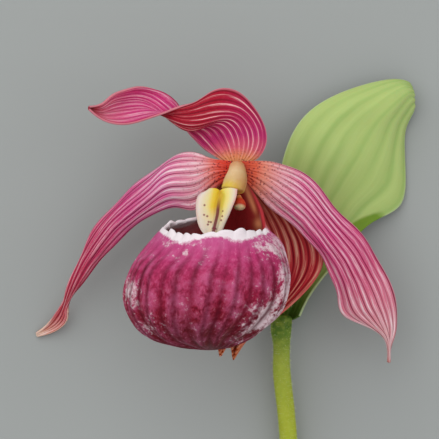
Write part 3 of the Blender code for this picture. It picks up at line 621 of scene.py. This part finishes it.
def pouchSkin(name, look):
    # living lip: satin skin, dark in its furrows, clouded with white scales, with painted sheen on its ribs
    # and crests and painted shade toward its toe
    skin, tree, place = newSkin(name)
    mask = {mark: addNode(tree, "Attribute", {"attribute_name": mark}).outputs["Fac"]
            for mark in ("furrow", "rimBand", "clouds", "down", "ridge", "backWall", "fold", "redLip")}
    # mottle of a few millimetres, then of half a millimetre
    coarse = addNode(tree, "TexNoise", {
        "Vector": place.outputs["Object"], "Scale": 260.0, "Detail": 4.0, "Roughness": 0.6})
    grain = addNode(tree, "TexNoise", {
        "Vector": place.outputs["Object"], "Scale": 1100.0, "Detail": 3.0, "Roughness": 0.65})
    # the tone from the rim down to the toe; on the outside its darkening toward the toe is partly painted
    # shade
    body = addNode(tree, "ValToRGB", {0: mask["down"], "stops": look["tones"]})
    # the pink mottle gathers on the crests, partly its own mottle and partly a painted highlight there
    crestSheenSum = addNode(tree, "Math", {"operation": "MULTIPLY_ADD", 0: mask["ridge"], 1: 0.14, 2: coarse})
    # the pale mottle thins toward the toe, which darkens it there: painted shade
    toeShadeFade = addNode(tree, "MapRange", {
        0: mask["down"], 1: 0.3, 2: 0.75, 3: look["mottle"], 4: look["mottle"] * 0.45})
    mottle = addNode(tree, "MapRange", {0: crestSheenSum, 1: 0.46, 2: 0.74, 3: 0.0, 4: toeShadeFade})
    # painted highlight: pale sheen streaks about half a millimetre wide that run down each rib
    ribStreakSize = addNode(tree, "VectorMath", {
        "operation": "MULTIPLY", 0: place.outputs["UV"], 1: (150.0, 26.0, 1.0)})
    ribStreak = addNode(tree, "TexNoise", {"Vector": ribStreakSize, "Scale": 1.0, "Detail": 4.0, "Roughness": 0.7})
    ribSheenMask = addNode(tree, "MapRange", {0: ribStreak, 1: 0.55, 2: 0.8, 3: 0.0, 4: look["ribStreak"]})
    # and dark ones, stronger below the rim: partly the lip's own streaks, partly painted shade toward the toe
    toeShadeReach = addNode(tree, "MapRange", {
        0: mask["down"], 1: 0.12, 2: 0.5, 3: look["ribStreak"] * 0.4, 4: look["ribStreak"] * 2.0})
    deepSum = addNode(tree, "Math", {"operation": "MULTIPLY_ADD", 0: coarse, 1: 0.8, 2: ribStreak})
    deepMask = addNode(tree, "MapRange", {0: deepSum, 1: 0.92, 2: 0.68, 3: 0.0, 4: toeShadeReach})
    # white clouds, ragged at their edges, and fine flecks of the same between them; the last cloud in the
    # table is a painted highlight
    ragged = addNode(tree, "Math", {"operation": "ADD", 0: grain, 1: coarse})
    cloudGlintSum = addNode(tree, "Math", {"operation": "MULTIPLY_ADD", 0: mask["clouds"], 1: 0.42, 2: ragged})
    cloudGlintMask = addNode(tree, "MapRange", {0: cloudGlintSum, 1: 1.2, 2: 1.46, 3: 0.0, 4: look["cloudGlintAmount"]})
    furrowMask = addNode(tree, "Math", {"operation": "MULTIPLY", 0: mask["furrow"], 1: look["furrowAmount"]})
    # pale band along the rim, ragged on its lower side
    bandSum = addNode(tree, "Math", {"operation": "MULTIPLY_ADD", 0: grain, 1: 0.7, 2: mask["rimBand"]})
    bandMask = addNode(tree, "MapRange", {0: bandSum, 1: 0.72, 2: 1.0, 3: 0.0, 4: 0.95})
    # the back wall is darker, partly the lip's own red and partly painted shade in the hollow behind the rim,
    # with a salmon fold near the heart and a red edge
    for amount, tone in (
            (mottle, look["mottleTone"]), (ribSheenMask, "#DE98B2"), (deepMask, look["furrowTone"]),
            (cloudGlintMask, look["cloudGlintTone"]), (furrowMask, look["furrowTone"]), (bandMask, look["rimTone"]),
            (mask["backWall"], look["wallShadeTone"]), (mask["fold"], "#D8895C"), (mask["redLip"], "#B4343A")):
        body = addNode(tree, "Mix", {"data_type": "RGBA", 0: amount, 6: body, 7: tone})
    bump = addNode(tree, "Bump", {"Height": grain, "Strength": 0.3, "Distance": 0.0004})
    setNode(tree, tree.nodes["Principled BSDF"], {
        "Base Color": body, "Normal": bump, "Roughness": 0.45, "Specular IOR Level": 0.1})
    return skin


# satin lip: rose at the rim, deepening to maroon at the toe, partly its own colour and partly painted shade
# where the bag turns down from the light, with pale streaks of painted sheen on its ribs
pouchOuter = pouchSkin("pouch_skin", {
    "tones": [(0.0, "#CC5C94"), (0.15, "#C23C74"), (0.32, "#B62C58"), (0.42, "#A62042"),
              (0.52, "#8E162C"), (0.64, "#761020"), (1.0, "#560A12")],
    "mottle": 0.62, "mottleTone": "#CC6C98", "furrowTone": "#560018", "furrowAmount": 0.85,
    "ribStreak": 0.45, "cloudGlintAmount": 0.9, "cloudGlintTone": "#ECD4D8", "rimTone": "#F6ECEE",
    "wallShadeTone": "#9A2230"})
# its lining: cream under the rim, soon falling to a dark red throat
pouchLining = pouchSkin("pouch_lining_skin", {
    "tones": [(0.0, "#FBEDE8"), (0.025, "#F6D4CC"), (0.07, "#D07C80"), (0.18, "#9A2A30"),
              (1.0, "#5A0C14")],
    "mottle": 0.4, "mottleTone": "#9C2C30", "furrowTone": "#4A0814", "furrowAmount": 0.5,
    "ribStreak": 0.15, "cloudGlintAmount": 0.1, "cloudGlintTone": "#D8A0A8", "rimTone": "#F0DCE0",
    "wallShadeTone": "#861A1C"})
sheet, masks = pouchSheet(pouch)
bag = layGrid("lip_pouch", sheet, masks, closed=True)
bag = thicken(bag, pouch["wall"], -1.0, [pouchOuter, pouchLining])
standFor(bag, "lip")
print("pouch blown")


def plainSkin(name, look):
    # smooth living tissue, its tone running from the foot to the tip with a soft mottle
    skin, tree, place = newSkin(name)
    split = addNode(tree, "SeparateXYZ", {0: place.outputs["UV"]})
    body = addNode(tree, "ValToRGB", {0: split.outputs[1], "stops": look["tones"]})
    grain = addNode(tree, "TexNoise", {
        "Vector": place.outputs["Object"], "Scale": look.get("grain", 900.0), "Detail": 3.0})
    mottle = addNode(tree, "MapRange", {0: grain, 1: 0.4, 2: 0.65, 3: 0.0, 4: look["mottle"]})
    layers = [(mottle, look["mottleTone"])]
    if "flank" in look:
        middle, spread, tone = look["flank"]
        gap = addNode(tree, "Math", {"operation": "SUBTRACT", 0: split.outputs[0], 1: middle})
        size = addNode(tree, "Math", {"operation": "ABSOLUTE", 0: gap})
        layers.append((addNode(tree, "MapRange", {0: size, 1: spread, 2: 0.0, 3: 0.0, 4: 0.9}), tone))
    for mask, tone in layers:
        body = addNode(tree, "Mix", {"data_type": "RGBA", 0: mask, 6: body, 7: tone})
    bump = addNode(tree, "Bump", {"Height": grain, "Strength": look.get("bump", 0.25), "Distance": 0.0002})
    setNode(tree, tree.nodes["Principled BSDF"], {
        "Base Color": body, "Normal": bump, "Roughness": look["rough"],
        "Specular IOR Level": 0.2, "Subsurface Weight": 0.15, "Subsurface Scale": 0.001})
    return skin


def layTube(name, look, skin, node):
    tube = layGrid(name, tubeSheet(look), closed=True)
    tube.data.materials.append(skin)
    standFor(tube, node)


# stem: matt stalk, dark green at its swollen top and yellow-green below
stemSkin = plainSkin("stem_skin", {
    "tones": [(0.0, "#48681C"), (0.08, "#567820"), (0.17, "#98A83C"), (0.4, "#A6B030"), (1.0, "#ACB628")],
    "mottle": 0.3, "mottleTone": "#BEC650", "grain": 700.0, "rough": 0.5})
stem = {
    "rows": 150, "sides": 48, "low": -heart[2], "endSharp": 70,
    "path": [(12.4, -38.7, -20.9), (11.9, -42.6, -21.2), (12, -46.2, -21.5), (12, -52.5, -22),
             (13, -62.7, -22.8), (13.9, -72.4, -23.5), (14.9, -85, -24.2), (15.6, -95, -24.8),
             (16, -105, -25.0)],
    "radii": [2.5, 2.8, 2.35, 2.3, 2.35, 2.35, 2.35, 2.35, 2.35]}
layTube("stem_stalk", stem, stemSkin, "stem")

# ovary: matt ridged vessel, green below and browner towards the flower
ovarySkin = plainSkin("ovary_skin", {
    "tones": [(0.0, "#5C7A2A"), (0.5, "#6A7E34"), (1.0, "#8A6A40")],
    "mottle": 0.4, "mottleTone": "#8A9A50", "grain": 700.0, "rough": 0.55})
ovary = {
    "rows": 90, "sides": 72, "ridges": 6, "ridge": 0.32, "up": (0.3, 0, 1), "endSharp": 14,
    "path": [(12.7, -38.2, -20.7), (12.4, -33, -20.2), (11.0, -25.5, -19.3), (8.4, -16.5, -17.2),
             (5.2, -8, -13.2), (2.4, -2, -8.2), (.7, .2, -4.8), (.2, .5, -2.85)],
    "radii": [2.2, 2.6, 2.75, 2.75, 2.4, 1.9, 1.6, 1.5]}
layTube("ovary_vessel", ovary, ovarySkin, "ovary")
print("stem and ovary drawn")

# column: waxy cream, tan on its right flank, yellow at its end
columnSkin = plainSkin("column_skin", {
    "tones": [(0.0, "#D08048"), (0.2, "#D8A070"), (0.45, "#E0C090"), (0.7, "#D8B278"),
              (0.86, "#E0BE4C"), (1.0, "#E4C43C")],
    "mottle": 0.25, "mottleTone": "#E8D0A4", "rough": 0.4, "flank": (0.46, 0.22, "#B07444")})
column = {
    "rows": 60, "sides": 56, "squash": 0.68, "up": (0, 1, 0.2), "endSharp": 11,
    "path": [(0, .4, .4), (0, .1, 1.6), (0, -1.3, 3.2), (-.4, -3.6, 4.7), (-1.3, -6.6, 5.9)],
    "radii": [1.9, 2.0, 2.4, 3.1, 3.2]}
layTube("column_pillar", column, columnSkin, "column")

# anthers: grainy orange pollen in a cream cup
antherSkin = plainSkin("anther_skin", {
    "tones": [(0.0, "#E8C080"), (0.25, "#DC8A50"), (0.4, "#C83A1E"), (0.78, "#B82A18"),
              (0.88, "#EBD0A0"), (1.0, "#EBD0A0")],
    "mottle": 0.4, "mottleTone": "#D85A28", "grain": 1800.0, "bump": 0.6, "rough": 0.6})
anther = {"rows": 40, "sides": 36, "radii": [.55, .75, 1.48, 1.45, .6], "endSharp": 8}
antherPaths = {
    "anther_right": [(.4, -7.3, 4.7), (.5, -8.1, 5.3), (.6, -9.3, 6.1), (.6, -10.5, 6.9), (.6, -11.2, 7.3)],
    "anther_left": [(-3.7, -6.2, 5), (-5, -7.2, 5.3), (-6.4, -8.5, 5.8), (-7.3, -9.8, 6.3),
                    (-7.7, -10.6, 6.6)]}
for node, path in antherPaths.items():
    layTube(node + "_body", {**anther, "path": path}, antherSkin, node)

# stigma: a moist, pale green knob
stigmaSkin = plainSkin("stigma_skin", {
    "tones": [(0.0, "#DCD6A8"), (1.0, "#C8CC94")], "mottle": 0.4, "mottleTone": "#EAE6C4", "rough": 0.25})
stigma = {
    "rows": 40, "sides": 36, "endSharp": 8, "radii": [.7, .9, 1.8, 1.0],
    "path": [(-1.6, -6.6, 6.1), (-2.3, -8.4, 6.4), (-3.4, -10.7, 7.3), (-3.9, -11.9, 8)]}
layTube("stigma_knob", stigma, stigmaSkin, "stigma")

# staminode: a glossy grooved shield, yellow down its middle, with maroon dots
staminode = {
    "rows": 90, "cols": 72, "thick": 0.9, "rib": 0.1, "ribs": 1, "swell": 0.05,
    "grooves": [(0.16, 0.15, 0.8), (-0.75, 0.3, -0.25)],
    # the dots' places across and down the camera's picture, and their size in millimetres
    "dots": [(205.3, 206), (204.9, 215.6), (208, 217), (209.5, 222.7), (211.6, 222.9), (208.8, 225.3),
             (214.5, 229), (222.3, 211.8), (221.8, 217), (220.6, 221)],
    "dotSize": 0.22,
    "stations": [
        [(-7.4, -5.6, 6.9), (-5, -5.9, 7.8), (0, -6.1, 8)],
        [(-9.8, -7.4, 7.6), (-5, -8, 9.6), (-.4, -7.9, 9.1)],
        [(-10.5, -10.2, 8.9), (-5.4, -10.2, 11.3), (-1.3, -10.1, 10.6)],
        [(-10.3, -13, 10.4), (-5.6, -12.8, 12.8), (-2.6, -12.9, 12.1)],
        [(-9.6, -15.6, 12.3), (-6, -15.3, 14.2), (-3.8, -15.5, 13.8)],
        [(-8.3, -17.7, 14.2), (-6.4, -17.6, 15.1), (-4.6, -17.6, 14.9)],
    ]}


def shieldSkin(name):
    # polished, waxy tissue: pinkish white at its sides
    skin, tree, place = newSkin(name)
    split = addNode(tree, "SeparateXYZ", {0: place.outputs["UV"]})
    across, along = split.outputs[0], split.outputs[1]
    body = addNode(tree, "ValToRGB", {0: across, "stops": [
        (0.0, "#DDBDB4"), (0.07, "#E8D8C8"), (0.26, "#E8D698"), (0.38, "#E4C43C"), (0.52, "#DDB01C"),
        (0.58, "#D0A42C"), (0.64, "#E6CC48"), (0.8, "#EEDC8C"), (0.93, "#E8D8BC"), (1.0, "#E6A6A0")]})
    # the yellow fades towards the tip
    fade = addNode(tree, "MapRange", {0: along, 1: 0.42, 2: 0.85, 3: 0.0, 4: 0.8})
    # dark red along the lower half of the groove
    offMiddle = addNode(tree, "Math", {"operation": "SUBTRACT", 0: across, 1: 0.58})
    nearMiddle = addNode(tree, "Math", {"operation": "ABSOLUTE", 0: offMiddle})
    line = addNode(tree, "MapRange", {0: nearMiddle, 1: 0.03, 2: 0.012, 3: 0.0, 4: 0.95})
    lower = addNode(tree, "MapRange", {0: along, 1: 0.22, 2: 0.5, 3: 0.0, 4: 1.0})
    groove = addNode(tree, "Math", {"operation": "MULTIPLY", 0: line, 1: lower})
    spots = addNode(tree, "Attribute", {"attribute_name": "dots"})
    for mask, tone in ((fade, "#E6D4C2"), (groove, "#6E1C20"), (spots.outputs["Fac"], "#7A2030")):
        body = addNode(tree, "Mix", {"data_type": "RGBA", 0: mask, 6: body, 7: tone})
    setNode(tree, tree.nodes["Principled BSDF"], {
        "Base Color": body, "Roughness": 0.3, "Specular IOR Level": 0.25,
        "Subsurface Weight": 0.15, "Subsurface Scale": 0.0008})
    return skin


sheet = bladeSheet(staminode)
wide, far = np.meshgrid(np.linspace(-1, 1, sheet.shape[1]), np.linspace(0, 1, sheet.shape[0]))
# its top edge dips between two rounded shoulders
top = np.clip(1 - far / 0.22, 0, 1) ** 1.5
sheet[:, :, 1] -= top * (0.9 * np.exp(-((wide - 0.14) / 0.15) ** 2) + 1.2 * np.clip(-wide, 0, 1) ** 5
                         - 0.35 * np.exp(-((wide - 0.7) / 0.25) ** 2))
spots = np.zeros(sheet.shape[:2])
centre = shot["pixels"] / 2
for px, py in staminode["dots"]:
    # where the camera sees each dot, brought down to the shield's own depth
    scale = shot["pixel"] * (1 - sheet[:, :, 2] / shot["high"])
    dx = sheet[:, :, 0] - ((px - centre) * scale - shot["left"] * shot["pixel"])
    dy = sheet[:, :, 1] - (-(py - centre) * scale - shot["down"] * shot["pixel"])
    spots = np.maximum(spots, np.clip(1.6 - np.hypot(dx, dy) / staminode["dotSize"], 0, 1))
shield = layGrid("staminode_shield", sheet, {"dots": spots})
shield = thicken(shield, staminode["thick"], 0.0, [shieldSkin("staminode_skin")])
standFor(shield, "staminode")
print("column, anthers, stigma and staminode set")

# short pale hairs that catch the light along the stalk and the seed vessel
hairs = {"stem": 1700, "ovary": 500, "long": 0.75, "thick": 0.045, "rows": 120, "sides": 60}
hairSkin = plainSkin("plant_hair", {
    "tones": [(0.0, "#C6CE9A"), (1.0, "#E0E4C4")], "mottle": 0.2, "mottleTone": "#F0F0E0", "rough": 0.6})


def hairCoat(name, look, count, seed):
    # each hair is a thin three-sided spike, rooted just inside the surface
    dice = np.random.default_rng(seed)
    sheet = tubeSheet({**look, "rows": hairs["rows"], "sides": hairs["sides"]})
    rows, cols = sheet.shape[0], sheet.shape[1]
    out = sheetNormals(sheet, closed=True)
    middle = sheet[:, :-1].mean(axis=1, keepdims=True)
    out = np.where(np.sum(out * (sheet - middle), axis=2, keepdims=True) < 0, -out, out)
    points, faces = [], []
    for n in range(count):
        r, c = dice.integers(4, rows - 4), dice.integers(0, cols - 1)
        root, away = sheet[r, c] + dice.normal(0, 0.12, 3) * 0.3, out[r, c]
        if root[2] < -heart[2] + 1.0:    # none in the last millimetre over the ground
            continue
        tilt = away + dice.normal(0, 0.28, 3)
        tilt /= np.linalg.norm(tilt)
        side = np.cross(tilt, (0.3, 0.5, 0.8))
        side /= np.linalg.norm(side)
        other = np.cross(tilt, side)
        first = len(points)
        foot = root - away * 0.1
        for k in range(3):
            turn = 2 * math.pi * k / 3
            points.append(foot + (side * math.cos(turn) + other * math.sin(turn)) * hairs["thick"])
        points.append(root + tilt * hairs["long"] * dice.uniform(0.5, 1.1))
        faces += [(first, first + 1, first + 3), (first + 1, first + 2, first + 3),
                  (first + 2, first, first + 3), (first + 2, first + 1, first)]
    mesh = bpy.data.meshes.new(name)
    mesh.from_pydata([tuple((np.asarray(p) + heart) / perMetre) for p in points], [], faces)
    mesh.update()
    coat = bpy.data.objects.new(name, mesh)
    bpy.context.scene.collection.objects.link(coat)
    mesh.materials.append(hairSkin)
    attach(coat, "root")
    return coat


hairCoat("stem_hairs", stem, hairs["stem"], 3)
hairCoat("ovary_hairs", ovary, hairs["ovary"], 5)
print("hairs set")

# studio: a pale floor, a wide soft key from above left, a fill from the right
studio = {"floor": "#A1A4A1", "key": 9.4, "fill": 1.6, "air": 0.66, "airTone": (0.95, 0.97, 1.0, 1),
          "aim": (0.0, 0.02, 0.02)}
bpy.ops.object.select_all(action="DESELECT")
bpy.ops.mesh.primitive_plane_add(size=6, location=(0, 0, -0.0002))
floor = bpy.context.object
floor.name = "studio_floor"
floorSkin = bpy.data.materials.new("studio_paper")   # matt backdrop paper, evenly grey
floorSkin.use_nodes = True
paper = floorSkin.node_tree.nodes["Principled BSDF"]
setNode(floorSkin.node_tree, paper, {"Base Color": studio["floor"], "Roughness": 0.9})
floor.data.materials.append(floorSkin)
for name, place, size, power in (("key_light", (-0.5, 0.7, 1.0), 1.6, studio["key"]),
                                 ("fill_light", (0.9, 0.1, 0.9), 0.9, studio["fill"])):
    bpy.ops.object.light_add(type="AREA", location=place)
    lamp = bpy.context.object
    lamp.name = name
    lamp.data.size, lamp.data.energy = size, power
    aim = np.array(studio["aim"]) - np.array(place)
    lamp.rotation_euler = (math.atan2(math.hypot(aim[0], aim[1]), -aim[2]), 0, math.atan2(-aim[0], aim[1]))
air = bpy.data.worlds.new("studio_air")
air.use_nodes = True
setNode(air.node_tree, air.node_tree.nodes["Background"], {0: studio["airTone"], 1: studio["air"]})
bpy.context.scene.world = air
bpy.context.scene.view_settings.view_transform = "Standard"
